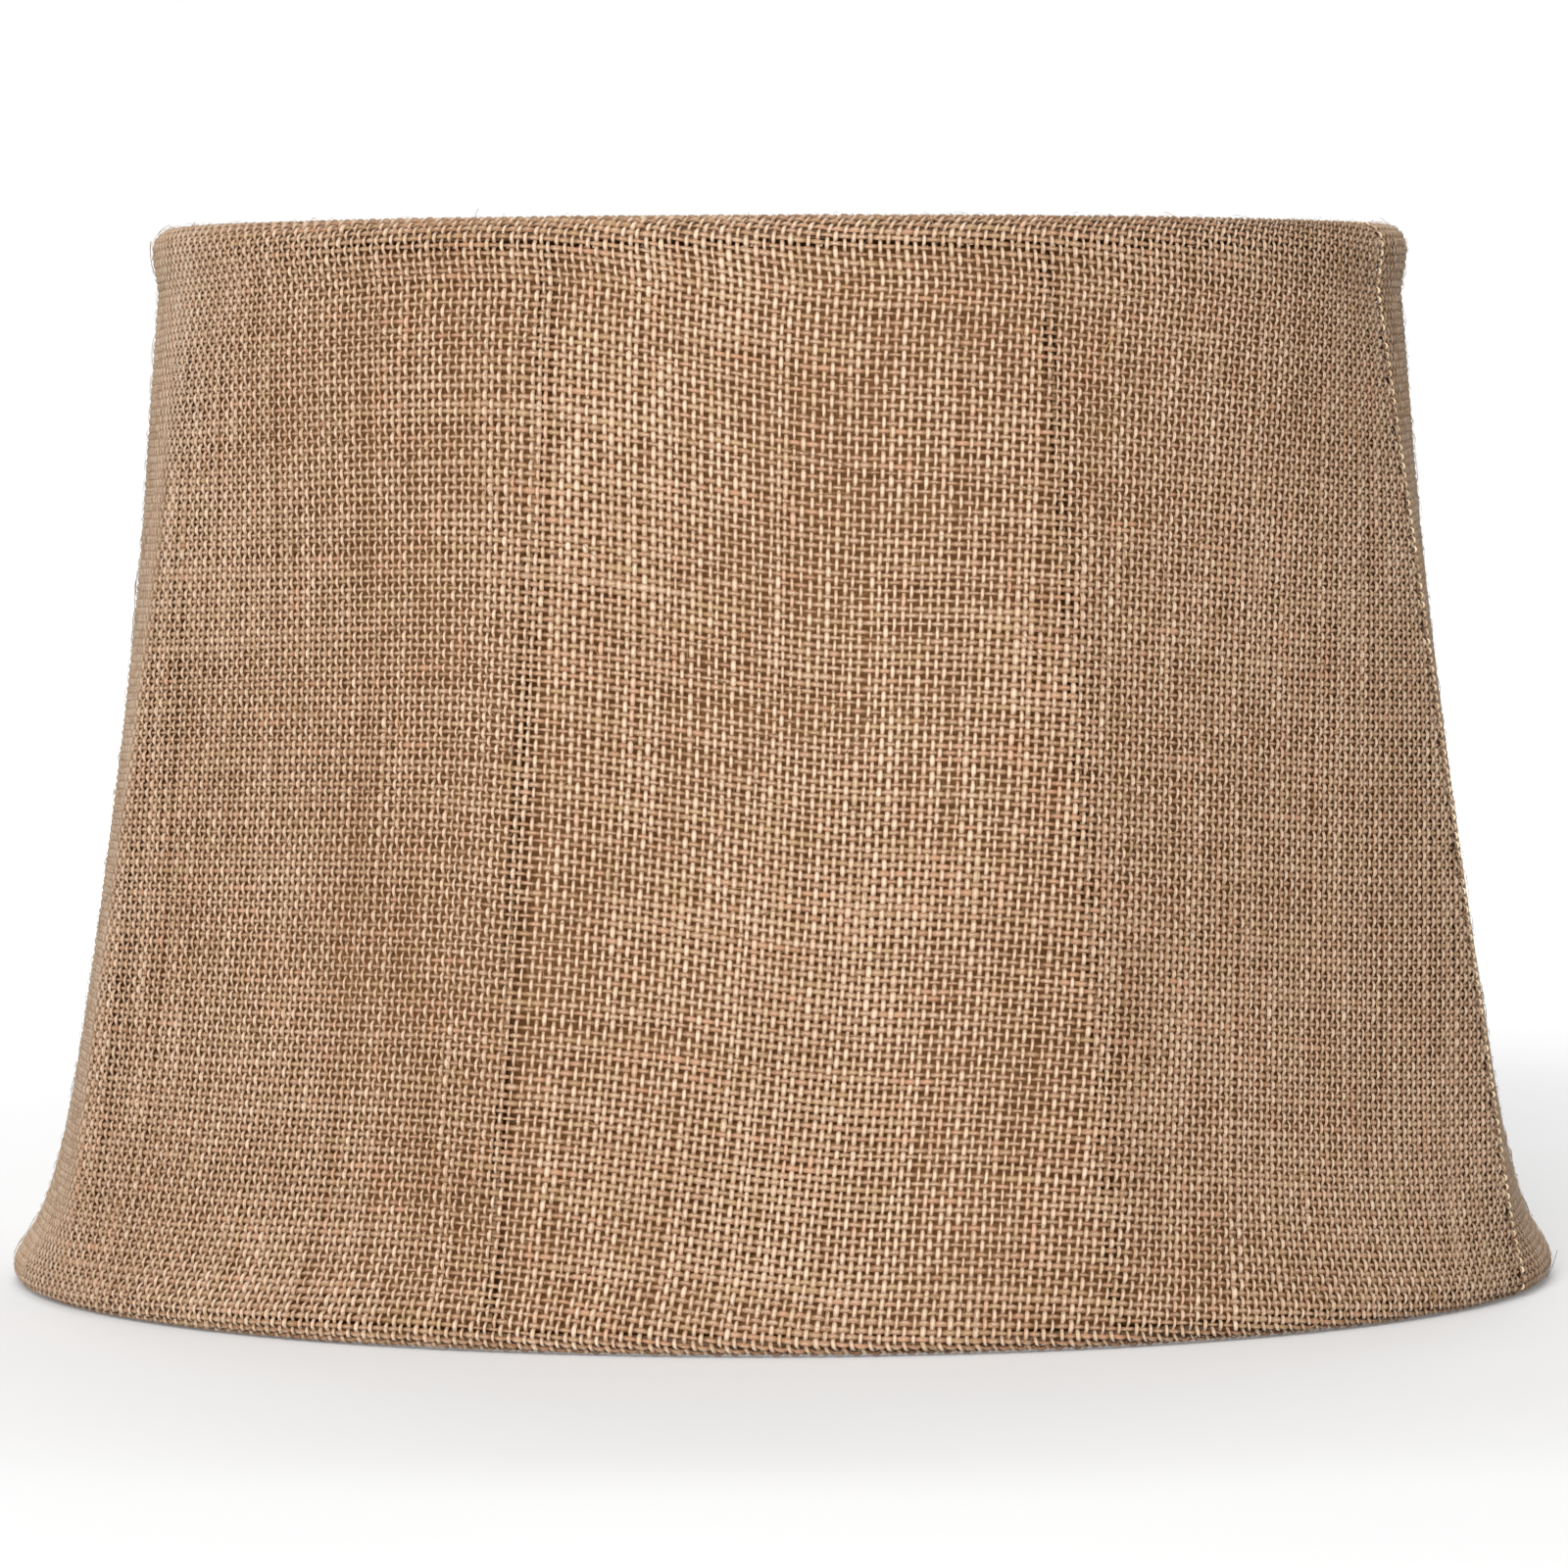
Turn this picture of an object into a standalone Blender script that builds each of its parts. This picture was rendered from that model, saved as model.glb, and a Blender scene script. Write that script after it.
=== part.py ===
"""Soft-back lamp shade: a burlap cover rolled over two wire rings.

The frame is a top ring, a bottom ring, eight straight ribs and a dropped
three-arm spider fitter with a washer that seats on the lamp's harp. The
cover is cut in two halves, sewn together over two opposite ribs. It is
stretched from ring to ring, so that it draws in between the ribs. A thin
lining hangs inside the ribs.

Units are metres and +Z is up. The origin is the centre of the bottom edge,
and -Y is the shade's front.
"""
import math

import bpy
from mathutils import Matrix, Vector

COLLECTION = "lamp_shade"

# Wire frame
TOP_RING_RADIUS = 0.1595      # centre line of the top ring
BOTTOM_RING_RADIUS = 0.1995   # centre line of the bottom ring
RING_SPACING = 0.2667         # height from one ring's centre line to the other's
RING_WIRE = 0.0032            # diameter
RIB_WIRE = 0.0030             # diameter
RIB_COUNT = 8
FIRST_RIB = math.radians(24)  # turn from the front (-Y) towards +X
SEAM_RIB = 1                  # the right-hand seam's rib, counted from the first

# Spider fitter
ARM_COUNT = 3
ARM_WIRE = 0.0032             # diameter
ARM_SHOULDER = 0.012          # level run from the ring before the arm drops
ARM_SLOPE = math.radians(32)  # of the dropping run, from level
SPIDER_DROP = 0.019           # from the ring's centre line to the arms' inner runs
BEND_RADIUS = 0.007           # of the arms' bends, at the wire's centre line
WASHER_RADIUS = 0.014
WASHER_HOLE_RADIUS = 0.0055
WASHER_THICKNESS = 0.0020
ARM_OVERLAP = 0.0045          # how far an arm reaches under the washer's rim

# Cloth
COVER_THICKNESS = 0.0011
LINING_THICKNESS = 0.0006
TOP_TAPE = 0.0024             # thickness of the tape that pads the top ring
BOTTOM_TAPE = 0.0006          # thickness of the tape round the bottom ring
PANEL_DRAW = 0.0091           # how far the cover draws in, midway between two ribs
LINING_DRAW = 0.0070          # how far the lining bows in, midway down
SEAM_THREAD = 0.0008          # diameter

# Clearance between pieces that touch on the real shade
GAP = 0.0003

# Fineness of the faceted model
STEPS_AROUND = 48             # every piece that goes round; a multiple of RIB_COUNT
ROLL_STEP = 30                # degrees, round the rolled edges
RING_WIRE_SIDES = 8
TAPE_STEPS = 5                # along the tape's C-shaped section
COVER_RUNS = 11               # lengths down a rib, between the two rings
LINING_RUNS = 8

BOTTOM_ROLL = RING_WIRE / 2 + GAP + BOTTOM_TAPE + GAP + COVER_THICKNESS
TOP_ROLL = RING_WIRE / 2 + GAP + TOP_TAPE + GAP + COVER_THICKNESS
BOTTOM_RING_Z = BOTTOM_ROLL * math.cos(math.radians(ROLL_STEP / 2))
TOP_RING_Z = BOTTOM_RING_Z + RING_SPACING
RIB_COVER = RIB_WIRE / 2 + GAP + COVER_THICKNESS   # rib centre line to cover's face
RIB_LEAN = math.atan2(BOTTOM_RING_RADIUS - TOP_RING_RADIUS, RING_SPACING)
RIB_PITCH = 2 * math.pi / RIB_COUNT


def clear_scene():
    """Remove everything that is already in the file."""
    for item in list(bpy.data.objects):
        bpy.data.objects.remove(item)


def make_collection():
    """Return a new collection for the shade's parts, linked to the scene."""
    collection = bpy.data.collections.new(COLLECTION)
    bpy.context.scene.collection.children.link(collection)
    return collection


def make_material(name, colour, roughness, metallic=0.0):
    """Return a Principled material."""
    material = bpy.data.materials.new(name)
    material.use_nodes = True
    shader = material.node_tree.nodes["Principled BSDF"]
    shader.inputs["Base Color"].default_value = (*colour, 1.0)
    shader.inputs["Roughness"].default_value = roughness
    shader.inputs["Metallic"].default_value = metallic
    material.diffuse_color = (*colour, 1.0)
    return material


def add_object(name, data, material, collection, turn=0.0):
    """Link a part and turn it about the shade's axis."""
    part = bpy.data.objects.new(name, data)
    data.materials.clear()
    data.materials.append(material)
    part.rotation_euler.z = turn
    collection.objects.link(part)
    return part


def polar(radius, height, turn=0.0):
    """A point at a turn from the front (-Y) towards +X."""
    return Vector((radius * math.sin(turn), -radius * math.cos(turn), height))


def rib_turn(number):
    """A rib's turn from the front, counted from the first rib."""
    return FIRST_RIB + number * RIB_PITCH


def along_rib(share):
    """Radius and height of the rib's centre line, from the top ring (0) to the bottom (1)."""
    radius = TOP_RING_RADIUS + (BOTTOM_RING_RADIUS - TOP_RING_RADIUS) * share
    return radius, TOP_RING_Z - RING_SPACING * share


def ease(value):
    """Smooth step between 0 and 1."""
    value = min(max(value, 0.0), 1.0)
    return value * value * (3 - 2 * value)


def cover_stand_off(share):
    """How far the cover's outer face stands outside the rib's centre line."""
    from_top = (TOP_ROLL - RIB_COVER) * (1 - ease(share / 0.05))
    from_bottom = (BOTTOM_ROLL - RIB_COVER) * ease((share - 0.94) / 0.06)
    return RIB_COVER + from_top + from_bottom


def panel_draw(share):
    """How far the cover draws in midway between two ribs."""
    return PANEL_DRAW * (1 - math.exp(-(share / 0.30) ** 1.6)) * (1 - min(share / 0.99, 1.0) ** 14)


def arc(centre, radius, start, end, steps):
    """Points on an arc of the profile; angles in degrees, 0 outwards and 90 up."""
    points = []
    for step in range(steps + 1):
        angle = math.radians(start + (end - start) * step / steps)
        points.append((centre[0] + radius * math.cos(angle),
                       centre[1] + radius * math.sin(angle)))
    return points


def cover_profile(inset=0.0, top_start=150, bottom_end=-195):
    """(radius, height) down the cover's face at a rib; inset moves it into the cloth.

    The profile runs from inside the top ring, over it, down the ribs and
    round under the bottom ring. The lowest stretch of the bottom arc is level.
    """
    lean = math.degrees(RIB_LEAN)
    top = (TOP_RING_RADIUS, TOP_RING_Z)
    bottom = (BOTTOM_RING_RADIUS, BOTTOM_RING_Z)
    points = arc(top, TOP_ROLL - inset, top_start, lean, round((top_start - lean) / ROLL_STEP))
    for step in range(1, COVER_RUNS):
        share = step / COVER_RUNS
        radius, height = along_rib(share)
        stand_off = cover_stand_off(share) - inset
        points.append((radius + stand_off * math.cos(RIB_LEAN),
                       height + stand_off * math.sin(RIB_LEAN)))
    flat_start = -90 + ROLL_STEP / 2
    flat_end = -90 - ROLL_STEP / 2
    roll = BOTTOM_ROLL - inset
    points += arc(bottom, roll, lean, flat_start, round((lean - flat_start) / ROLL_STEP))
    points += arc(bottom, roll, flat_end, bottom_end, round((flat_end - bottom_end) / ROLL_STEP))
    return points


def swept_half(name, profile, seam_gap, seam_radius):
    """Half a turn of an open profile, from one seam rib to the other, as a mesh.

    The profile is turned with a Screw modifier about the shade's axis. It
    starts half a seam gap past the seam rib and ends half a gap before the
    opposite one.
    """
    mesh = bpy.data.meshes.new(name + "_profile")
    edges = [(index, index + 1) for index in range(len(profile) - 1)]
    mesh.from_pydata([(radius, 0.0, height) for radius, height in profile], edges, [])
    guide = bpy.data.objects.new(name + "_profile", mesh)
    bpy.context.scene.collection.objects.link(guide)
    turned = guide.modifiers.new("turned", "SCREW")
    trim = seam_gap / seam_radius
    turned.angle = math.pi - trim
    turned.steps = STEPS_AROUND // 2
    turned.render_steps = turned.steps
    turned.merge_threshold = 0.0
    turned.use_smooth_shade = True
    graph = bpy.context.evaluated_depsgraph_get()
    half = bpy.data.meshes.new_from_object(guide.evaluated_get(graph))
    half.transform(Matrix.Rotation(trim / 2, 4, "Z"))
    bpy.data.objects.remove(guide)
    return half


def draw_in_between_ribs(mesh, depth_at):
    """Pull a half cover in between its ribs, which stand every rib pitch from the seam.

    A taut panel's level section is close to a chord, so the pull fades from
    its full depth midway between two ribs to nothing at each rib.
    """
    full = 1 / math.cos(RIB_PITCH / 2) - 1
    for vertex in mesh.vertices:
        place = vertex.co
        share = (TOP_RING_Z - place.z) / RING_SPACING
        if 0 < share < 1:
            off_middle = math.atan2(place.y, place.x) % RIB_PITCH - RIB_PITCH / 2
            chord = 1 - (1 / math.cos(off_middle) - 1) / full
            radius = math.hypot(place.x, place.y)
            scale = 1 - depth_at(share) * chord / radius
            place.x *= scale
            place.y *= scale


def cloth_half(name, profile, thickness, seam_gap, depth_at, turn, material, collection):
    """One half of a sewn cloth shell, given its thickness inwards."""
    mesh = swept_half(name, profile, seam_gap, TOP_RING_RADIUS)
    draw_in_between_ribs(mesh, depth_at)
    part = add_object(name, mesh, material, collection, turn)
    wall = part.modifiers.new("wall", "SOLIDIFY")
    wall.thickness = thickness
    wall.offset = -1.0
    wall.use_rim = True
    return part


def make_covers(material, collection):
    """The burlap cover's two halves."""
    seam_gap = SEAM_THREAD + 2 * GAP
    seam_turn = rib_turn(SEAM_RIB) - math.pi / 2
    for name, extra in (("cover_back", 0.0), ("cover_front", math.pi)):
        cloth_half(name, cover_profile(), COVER_THICKNESS, seam_gap, panel_draw,
                   seam_turn + extra, material, collection)


def lining_profile():
    """(radius, height) down the lining's outer face, inside the ribs."""
    stand_in = RIB_WIRE / 2 + GAP
    hem_top = TOP_RING_Z - ARM_WIRE / 2 - 2 * GAP
    hem_bottom = BOTTOM_RING_Z + BOTTOM_ROLL
    clear_top = TOP_RING_RADIUS - RING_WIRE / 2 - GAP - stand_in
    clear_bottom = BOTTOM_RING_RADIUS - BOTTOM_ROLL - 2 * GAP
    points = []
    for step in range(LINING_RUNS + 1):
        share = step / LINING_RUNS
        height = hem_top + (hem_bottom - hem_top) * share
        radius = clear_top + (clear_bottom - clear_top) * share
        points.append((radius - LINING_DRAW * math.sin(math.pi * share), height))
    return points


def make_linings(material, collection):
    """The lining's two halves, sewn at the same ribs as the cover."""
    seam_turn = rib_turn(SEAM_RIB) - math.pi / 2
    for name, extra in (("lining_back", 0.0), ("lining_front", math.pi)):
        cloth_half(name, lining_profile(), LINING_THICKNESS, GAP, lambda share: 0.0,
                   seam_turn + extra, material, collection)


def make_ring(name, radius, height, material, collection):
    """A welded wire ring."""
    bpy.ops.mesh.primitive_torus_add(major_radius=radius, minor_radius=RING_WIRE / 2,
                                     major_segments=STEPS_AROUND, minor_segments=RING_WIRE_SIDES,
                                     location=(0.0, 0.0, height),
                                     rotation=(0.0, 0.0, FIRST_RIB))
    ring = bpy.context.active_object
    ring.name = name
    for owner in list(ring.users_collection):
        owner.objects.unlink(ring)
    collection.objects.link(ring)
    ring.data.materials.append(material)
    ring.data.shade_smooth()
    return ring


def make_tape(name, centre, thickness, start, end, material, collection):
    """The tape that wraps a ring: a C-shaped section turned about the shade's axis."""
    inner = RING_WIRE / 2 + GAP
    outside = arc(centre, inner + thickness, start, end, TAPE_STEPS)
    inside = arc(centre, inner, end, start, TAPE_STEPS)
    section = outside + inside
    mesh = bpy.data.meshes.new(name)
    count = len(section)
    edges = [(index, (index + 1) % count) for index in range(count)]
    mesh.from_pydata([(radius, 0.0, height) for radius, height in section], edges, [])
    tape = add_object(name, mesh, material, collection, FIRST_RIB)
    turned = tape.modifiers.new("turned", "SCREW")
    turned.angle = 2 * math.pi
    turned.steps = STEPS_AROUND
    turned.render_steps = STEPS_AROUND
    turned.use_merge_vertices = True
    turned.merge_threshold = 0.00001
    turned.use_smooth_shade = True
    return tape


def make_wire(name, points, diameter, material, collection):
    """A wire along a list of points, with filled ends."""
    curve = bpy.data.curves.new(name, "CURVE")
    curve.dimensions = "3D"
    curve.bevel_depth = diameter / 2
    curve.bevel_resolution = 2
    curve.use_fill_caps = True
    spline = curve.splines.new("POLY")
    spline.points.add(len(points) - 1)
    for point, place in zip(spline.points, points):
        point.co = (*place, 1.0)
    return add_object(name, curve, material, collection)


def make_ribs(material, collection):
    """Straight ribs, butted between the rings."""
    end_gap = RING_WIRE / 2 + GAP
    length = RING_SPACING / math.cos(RIB_LEAN)
    for number in range(RIB_COUNT):
        turn = rib_turn(number)
        ends = []
        for share in (end_gap / length, 1 - end_gap / length):
            radius, height = along_rib(share)
            ends.append(polar(radius, height, turn))
        make_wire(f"rib_{number + 1}", ends, RIB_WIRE, material, collection)


def rounded(corners, radius, steps=5):
    """A path of straight runs with each corner turned on an arc, as (radius, height) pairs."""
    path = [Vector(corners[0])]
    for before, corner, after in zip(corners, corners[1:], corners[2:]):
        corner = Vector(corner)
        inwards = (Vector(before) - corner).normalized()
        outwards = (Vector(after) - corner).normalized()
        half = inwards.angle(outwards) / 2
        cut = radius / math.tan(half)
        centre = corner + (inwards + outwards).normalized() * (radius / math.sin(half))
        start = corner + inwards * cut - centre
        turned = start.angle_signed(corner + outwards * cut - centre)
        for step in range(steps + 1):
            spoke = start.copy()
            spoke.rotate(Matrix.Rotation(-turned * step / steps, 2))
            path.append(centre + spoke)
    path.append(Vector(corners[-1]))
    return path


def make_spider(material, collection):
    """The washer, and the arms that drop from the top ring to lie under its rim."""
    inner_height = TOP_RING_Z - SPIDER_DROP
    washer_bottom = inner_height + ARM_WIRE / 2 + GAP
    start = TOP_RING_RADIUS - RING_WIRE / 2 - GAP
    shoulder = start - ARM_SHOULDER
    foot = shoulder - SPIDER_DROP / math.tan(ARM_SLOPE)
    corners = [(start, TOP_RING_Z), (shoulder, TOP_RING_Z), (foot, inner_height),
               (WASHER_RADIUS - ARM_OVERLAP, inner_height)]
    path = rounded(corners, BEND_RADIUS)
    for number in range(ARM_COUNT):
        turn = rib_turn(SEAM_RIB) + number * 2 * math.pi / ARM_COUNT
        points = [polar(radius, height, turn) for radius, height in path]
        make_wire(f"spider_arm_{number + 1}", points, ARM_WIRE, material, collection)

    section = [(WASHER_HOLE_RADIUS, 0.0), (WASHER_HOLE_RADIUS, WASHER_THICKNESS),
               (WASHER_RADIUS, WASHER_THICKNESS), (WASHER_RADIUS, 0.0)]
    mesh = bpy.data.meshes.new("spider_washer")
    edges = [(index, (index + 1) % 4) for index in range(4)]
    mesh.from_pydata([(radius, 0.0, height) for radius, height in section], edges, [])
    washer = add_object("spider_washer", mesh, material, collection, FIRST_RIB)
    washer.location.z = washer_bottom
    turned = washer.modifiers.new("turned", "SCREW")
    turned.angle = 2 * math.pi
    turned.steps = 48
    turned.render_steps = 48
    turned.use_merge_vertices = True
    turned.merge_threshold = 0.00001
    turned.use_smooth_shade = False


def make_seam_threads(material, collection):
    """The thread that closes each seam, laid between the cover's two halves."""
    profile = cover_profile(inset=COVER_THICKNESS / 2, top_start=75, bottom_end=-135)
    path = [point for point in profile if point[1] > BOTTOM_RING_Z - BOTTOM_ROLL / 2]
    for side, rib in (("right", SEAM_RIB), ("left", SEAM_RIB + RIB_COUNT // 2)):
        turn = rib_turn(rib)
        points = [polar(radius, height, turn) for radius, height in path]
        make_wire(f"seam_thread_{side}", points, SEAM_THREAD, material, collection)


def build():
    """Make the whole shade."""
    clear_scene()
    collection = make_collection()
    brass = make_material("brassed_wire", (0.55, 0.42, 0.22), 0.35, 1.0)
    lacquer = make_material("lacquered_wire", (0.09, 0.06, 0.04), 0.6)
    burlap = make_material("burlap", (0.28, 0.18, 0.11), 0.95)
    lining = make_material("lining_cloth", (0.22, 0.11, 0.04), 0.85)
    tape = make_material("ring_tape", (0.08, 0.04, 0.02), 0.9)
    thread = make_material("seam_thread", (0.42, 0.33, 0.22), 0.9)

    make_ring("top_ring", TOP_RING_RADIUS, TOP_RING_Z, lacquer, collection)
    make_ring("bottom_ring", BOTTOM_RING_RADIUS, BOTTOM_RING_Z, lacquer, collection)
    make_ribs(lacquer, collection)
    make_spider(brass, collection)
    make_tape("ring_tape_top", (TOP_RING_RADIUS, TOP_RING_Z), TOP_TAPE, 128, -5,
              tape, collection)
    make_tape("ring_tape_bottom", (BOTTOM_RING_RADIUS, BOTTOM_RING_Z), BOTTOM_TAPE,
              20, -188, tape, collection)
    make_covers(burlap, collection)
    make_linings(lining, collection)
    make_seam_threads(thread, collection)


build()
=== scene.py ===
# %% [markdown]
# # A burlap lamp shade, woven yarn by yarn
#
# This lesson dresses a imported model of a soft-back lamp shade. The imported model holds
# the steel frame: two rings with their tape, eight ribs and a dropped fitter. Its plain
# cloth is replaced here. The cover is coarse jute burlap, and its holes, its round yarns
# and the shadow between them are what the eye sees first, so every yarn of the cover is
# a strip of its own. All sizes are in metres, unless a comment says otherwise.

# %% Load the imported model
import math

import bpy
import numpy as np
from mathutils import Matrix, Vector


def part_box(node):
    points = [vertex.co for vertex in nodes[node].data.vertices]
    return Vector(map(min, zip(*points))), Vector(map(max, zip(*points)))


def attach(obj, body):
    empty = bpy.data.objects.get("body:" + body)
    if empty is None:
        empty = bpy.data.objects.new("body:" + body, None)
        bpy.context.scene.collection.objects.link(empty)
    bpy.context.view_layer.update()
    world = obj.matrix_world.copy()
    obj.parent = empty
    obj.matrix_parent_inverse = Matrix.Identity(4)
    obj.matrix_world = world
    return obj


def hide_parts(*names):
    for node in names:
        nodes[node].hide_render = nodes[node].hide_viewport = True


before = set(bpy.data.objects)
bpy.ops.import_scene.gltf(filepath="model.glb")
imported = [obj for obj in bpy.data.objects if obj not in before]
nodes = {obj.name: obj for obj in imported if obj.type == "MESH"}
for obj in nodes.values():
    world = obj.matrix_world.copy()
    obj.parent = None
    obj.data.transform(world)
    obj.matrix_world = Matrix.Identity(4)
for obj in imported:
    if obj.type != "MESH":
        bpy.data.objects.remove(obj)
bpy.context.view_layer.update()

print("packed nodes:", len(nodes))

# %% [markdown]
# ## The camera and the studio
#
# The shade is seen almost level, from a little under its top edge, through a long lens
# two metres away. A long lens keeps the two rolled edges nearly straight. The floor is a
# wide pale dish: a disc whose rim curves up into a wall, so that no horizon shows.

# %% Camera
bpy.ops.object.select_all(action="DESELECT")
CAMERA_PLACE = (0.0, -2.1785, 0.2299)
CAMERA_DIP = 2.649          # degrees below level
CAMERA_ROLL = 0.18          # degrees
CAMERA_TURN = -0.00048      # radians off straight ahead
CAMERA_LENS = 189.0         # millimetres on a 36 mm sensor
CAMERA_REACH = 60.0         # farthest place it sees
bpy.ops.object.camera_add(
    location=CAMERA_PLACE,
    rotation=(math.radians(90 - CAMERA_DIP), math.radians(CAMERA_ROLL), CAMERA_TURN))
camera = bpy.context.object
camera.name = "studio_camera"
camera.data.lens = CAMERA_LENS
camera.data.sensor_width = 36.0
camera.data.clip_end = CAMERA_REACH
bpy.context.scene.camera = camera
bpy.context.scene.view_settings.view_transform = "Standard"
print("camera", CAMERA_LENS, "mm")

# %% Floor and wall in one dish
FLOOR_RADIUS = 8.0
FLOOR_RIM = 2.5             # width of the ring of floor next to the wall
FLOOR_DROP = 0.0004         # clearance under the shade
WALL_HEIGHT = 5.0
COVE_WIDTH = 2.2            # floor and wall taken up by the curve between them
bpy.ops.object.select_all(action="DESELECT")
bpy.ops.mesh.primitive_circle_add(vertices=128, radius=FLOOR_RADIUS, fill_type="NGON",
                                  location=(0.0, 0.0, -FLOOR_DROP))
floor = bpy.context.object
floor.name = "studio_floor"
bpy.ops.object.mode_set(mode="EDIT")
bpy.ops.mesh.select_mode(type="FACE")
bpy.ops.mesh.select_all(action="SELECT")
bpy.ops.mesh.inset(thickness=FLOOR_RIM)
bpy.ops.mesh.select_all(action="SELECT")
bpy.ops.mesh.region_to_loop()
bpy.ops.mesh.extrude_edges_move(TRANSFORM_OT_translate={"value": (0.0, 0.0, WALL_HEIGHT)})
bpy.ops.object.mode_set(mode="OBJECT")
bpy.ops.object.transform_apply(location=True, rotation=True, scale=True)
cove = floor.modifiers.new("cove", "BEVEL")
cove.width = COVE_WIDTH
cove.segments = 14
cove.limit_method = "ANGLE"
bpy.ops.object.modifier_apply(modifier="cove")
bpy.ops.object.shade_smooth()
print("dish faces", len(floor.data.polygons))

# %% [markdown]
# ## Shader maths
#
# A material is a graph of nodes. The class below wraps one socket, so that arithmetic on
# it reads as arithmetic and adds Math nodes, and one method adds any other node.


# %% A value on its way through a material
class Flow:
    """One socket of a material's node tree."""

    def __init__(self, tree, socket=None):
        self.tree = tree
        self.socket = socket

    def node(self, kind, settings, inputs, output=0):
        """Add a node: its settings first, then the values or links of its sockets."""
        made = self.tree.nodes.new(kind)
        for name, value in settings.items():
            if name == "stops":
                ramp = made.color_ramp.elements
                while len(ramp) < len(value):
                    ramp.new(0.5)
                for stop, (place, colour) in zip(ramp, value):
                    stop.position = place
                    stop.color = (*colour, 1.0)
            else:
                setattr(made, name, value)
        for name, value in inputs.items():
            if isinstance(value, Flow):
                self.tree.links.new(value.socket, made.inputs[name])
            else:
                made.inputs[name].default_value = value
        return Flow(self.tree, made.outputs[output])

    def maths(self, operation, first, second):
        return self.node("ShaderNodeMath", {"operation": operation}, {0: first, 1: second})

    def __add__(self, other):
        return self.maths("ADD", self, other)

    __radd__ = __add__

    def __sub__(self, other):
        return self.maths("SUBTRACT", self, other)

    def __rsub__(self, other):
        return self.maths("SUBTRACT", other, self)

    def __mul__(self, other):
        return self.maths("MULTIPLY", self, other)

    __rmul__ = __mul__

    def mixed(self, first, second):
        """A colour between two others; this value is the share of the second."""
        return self.node("ShaderNodeMix", {"data_type": "RGBA"},
                         {0: self, 6: first, 7: second}, output=2)

    def ranged(self, low, high, to_low, to_high):
        """This value mapped from one range to another, and held inside it."""
        return self.node("ShaderNodeMapRange", {"clamp": True},
                         {0: self, 1: low, 2: high, 3: to_low, 4: to_high})


def new_finish(name):
    """A material, a Flow to start its graph with, and its shader's sockets."""
    material = bpy.data.materials.new(name)
    material.use_nodes = True
    shader = material.node_tree.nodes["Principled BSDF"]
    return material, Flow(material.node_tree), shader.inputs


def feed(flow, socket):
    flow.tree.links.new(flow.socket, socket)


def paint(rgb):
    """A colour given as 0 to 255 steps of a paint card, as the shader wants it."""
    return tuple(((step / 255 + 0.055) / 1.055) ** 2.4 if step > 10 else step / 3295
                 for step in rgb) + (1.0,)


# %% [markdown]
# ## Studio surfaces and lights
#
# Everything is pale and soft. A big panel of light stands in front, a little to the
# left, so the shade's panels that turn away from it fall off in steps. Two weak ones
# stand at the sides, one hangs overhead, and a strong one behind the shade lights the
# wall it is seen against. The pale dish glows a little, which fills the shadows.

# %% Floor finish and lights
DISH_GLOW = 0.15
AIR_GLOW = 0.13
material, start, sockets = new_finish("studio_white")
place = start.node("ShaderNodeTexCoord", {}, {}, output=3)
grain = start.node("ShaderNodeTexNoise", {}, {"Vector": place, "Scale": 3.0, "Detail": 2.0})
feed(grain.ranged(0.3, 0.7, 0.0, 1.0).mixed(paint((200, 200, 200)), paint((204, 204, 204))),
     sockets["Base Color"])
sockets["Roughness"].default_value = 0.9
sockets["Specular IOR Level"].default_value = 0.1
sockets["Emission Color"].default_value = (1.0, 1.0, 1.0, 1.0)
sockets["Emission Strength"].default_value = DISH_GLOW
floor.data.materials.append(material)

world = bpy.data.worlds.new("studio_air")
bpy.context.scene.world = world
world.use_nodes = True
air = world.node_tree.nodes["Background"].inputs
air["Color"].default_value = (1.0, 1.0, 1.0, 1.0)
air["Strength"].default_value = AIR_GLOW


def soft_light(name, place, aim, size, power):
    """A square panel of light that faces a point; its power is in watts."""
    bpy.ops.object.select_all(action="DESELECT")
    bpy.ops.object.light_add(type="AREA", location=place)
    light = bpy.context.object
    light.name = name
    light.data.shape = "SQUARE"
    light.data.size = size
    light.data.energy = power
    towards = Vector(aim) - Vector(place)
    light.rotation_euler = towards.to_track_quat("-Z", "Y").to_euler()
    return light


MIDDLE = (0.0, 0.0, 0.14)            # of the shade
WALL_FOOT = (0.0, 5.0, 0.0)          # where the wall behind it begins to rise
soft_light("light_front", (-0.42, -3.1, 1.2), MIDDLE, 1.4, 200)
soft_light("light_left", (-2.6, 0.6, 0.7), MIDDLE, 1.0, 0.4)
soft_light("light_right", (2.6, 0.6, 0.7), MIDDLE, 1.0, 0.4)
soft_light("light_above", (0.0, 0.6, 2.6), MIDDLE, 1.8, 12)
soft_light("light_behind", (0.0, 2.8, 3.2), WALL_FOOT, 2.6, 300)
print("lights placed")

# %% [markdown]
# ## Where the cover lies
#
# The cover is pulled over the top ring, down eight straight ribs and round the bottom
# ring. Its section at a rib is a hem inside the top ring, a roll over it, a run down the
# rib and a roll round the bottom ring. Between two ribs the taut cloth takes the short
# way, nearly a chord, and draws in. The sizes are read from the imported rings.


# %% Sizes of the frame
def ring_sizes(name):
    """Radius and height of a ring's centre line."""
    points = np.array([v.co for v in nodes[name].data.vertices])
    reach = np.hypot(points[:, 0], points[:, 1])
    low, high = points[:, 2].min(), points[:, 2].max()
    return (reach.min() + reach.max()) / 2, (low + high) / 2


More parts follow.
